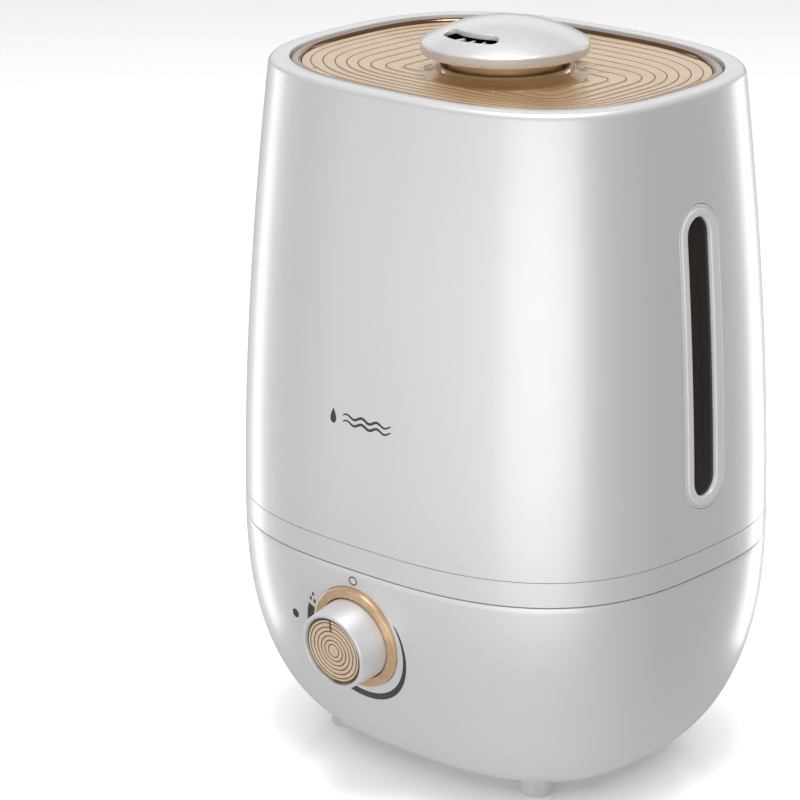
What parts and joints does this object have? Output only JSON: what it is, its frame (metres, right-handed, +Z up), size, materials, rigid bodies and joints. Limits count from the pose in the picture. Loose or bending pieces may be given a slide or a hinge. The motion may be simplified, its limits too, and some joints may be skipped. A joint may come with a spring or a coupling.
{
  "type": "cool mist humidifier",
  "caption": "Free-standing ultrasonic humidifier: bowl-shaped base with a mist knob, lift-off water tank with a side window, patterned top cover and turning slotted dome nozzle.",
  "frame": {"origin": "on the floor plane under the middle of the tank, on the axis of the mist chimney and nozzle", "axes": "+Z up along the nozzle's axis, -Y towards the knob (the front), +X towards the water-level window"},
  "size_m": [0.22, 0.2031, 0.3221],
  "materials": {
    "white_gloss": "polished white",
    "tray_white": "satin moulded",
    "champagne_cover": "champagne gold lacquer",
    "bronze_trim": "dark bronze gloss",
    "pearl_cap": "pearl satin",
    "gold_ring": "brushed champagne gold",
    "smoked_lens": "smoked clear plastic",
    "pale_frame": "pale grey gloss",
    "grey_rubber": "matte",
    "black_plastic": "fine texture",
    "soft_seal": "silicone",
    "circuit_board": "solder mask",
    "aluminium": "extruded",
    "steel": "zinc plated",
    "copper": "enamelled winding",
    "ceramic_disc": "nickel plated ceramic",
    "foam": "open foam",
    "green_lamp": "clear tinted"
  },
  "bodies": {
    "base": {"base_shell": "white_gloss", "water_tray": "tray_white", "bottom_plate": "tray_white", "foot_front_left": "grey_rubber", "foot_front_right": "grey_rubber", "foot_rear_left": "grey_rubber", "foot_rear_right": "grey_rubber", "base_screws": "steel", "transducer_disc": "ceramic_disc", "transducer_gasket": "soft_seal", "transducer_holder": "aluminium", "heat_sink": "aluminium", "driver_board": "circuit_board", "power_board": "circuit_board", "transformer": "steel", "capacitors": "black_plastic", "fan_housing": "black_plastic", "fan_stator": "copper", "air_filter": "foam", "air_duct": "tray_white", "float_clip": "tray_white", "reed_switch": "black_plastic", "knob_ring": "gold_ring", "knob_backplate": "black_plastic", "potentiometer": "black_plastic", "control_board": "circuit_board", "indicator_led": "green_lamp", "led_lens": "black_plastic", "cord_gland": "black_plastic", "gland_nut": "black_plastic"},
    "tank": {"tank_shell": "white_gloss", "tank_base": "white_gloss", "mist_chimney": "tray_white", "top_cover": "champagne_cover", "cover_trim_ring": "bronze_trim", "window_frame": "pale_frame", "window_lens": "smoked_lens"},
    "nozzle_collar": {"nozzle_neck": "champagne_cover", "nozzle_seal": "soft_seal"},
    "nozzle": {"nozzle_cap": "pearl_cap"},
    "knob": {"knob": "white_gloss", "knob_cap": "gold_ring", "knob_pointer": "black_plastic", "potentiometer_shaft": "steel"},
    "float": {"float_ring": "foam", "float_magnet": "steel"},
    "fan": {"fan_rotor": "black_plastic", "fan_shaft": "steel"},
    "fill_cap": {"fill_cap": "tray_white", "fill_cap_gasket": "soft_seal", "valve_spring": "steel"},
    "valve": {"valve_plunger": "tray_white", "valve_seal": "soft_seal", "stem_clip": "tray_white"}
  },
  "joints": [
    {"name": "tank_lift", "type": "slide", "parent": "base", "child": "tank", "axis": [0, 0, 1], "range_m": [0, 0.12]},
    {"name": "nozzle_lift", "type": "slide", "parent": "tank", "child": "nozzle_collar", "axis": [0, 0, 1], "range_m": [0, 0.03]},
    {"name": "nozzle_turn", "type": "hinge", "parent": "nozzle_collar", "child": "nozzle", "pos_m": [0, 0, 0.31], "axis": [0, 0, 1], "continuous": true},
    {"name": "knob_turn", "type": "hinge", "parent": "base", "child": "knob", "pos_m": [-0.0035, -0.09199, 0.0705], "axis": [0.002, 0.9904, 0.1379], "range_deg": [0, 290]},
    {"name": "float_rise", "type": "slide", "parent": "base", "child": "float", "axis": [0, 0, 1], "range_m": [0, 0.008]},
    {"name": "fan_spin", "type": "hinge", "parent": "base", "child": "fan", "pos_m": [0, 0.028, 0.0215], "axis": [0, 0, 1], "continuous": true},
    {"name": "cap_turn", "type": "hinge", "parent": "tank", "child": "fill_cap", "pos_m": [-0.054, 0, 0.09], "axis": [0, 0, 1], "range_deg": [0, 45]},
    {"name": "valve_close", "type": "slide", "parent": "fill_cap", "child": "valve", "axis": [0, 0, -1], "range_m": [0, 0.005], "deforming": ["valve_spring"]}
  ],
  "couplings": [
    {"joint": "valve_close", "follows": "tank_lift", "ratio": 0.0416}
  ]
}
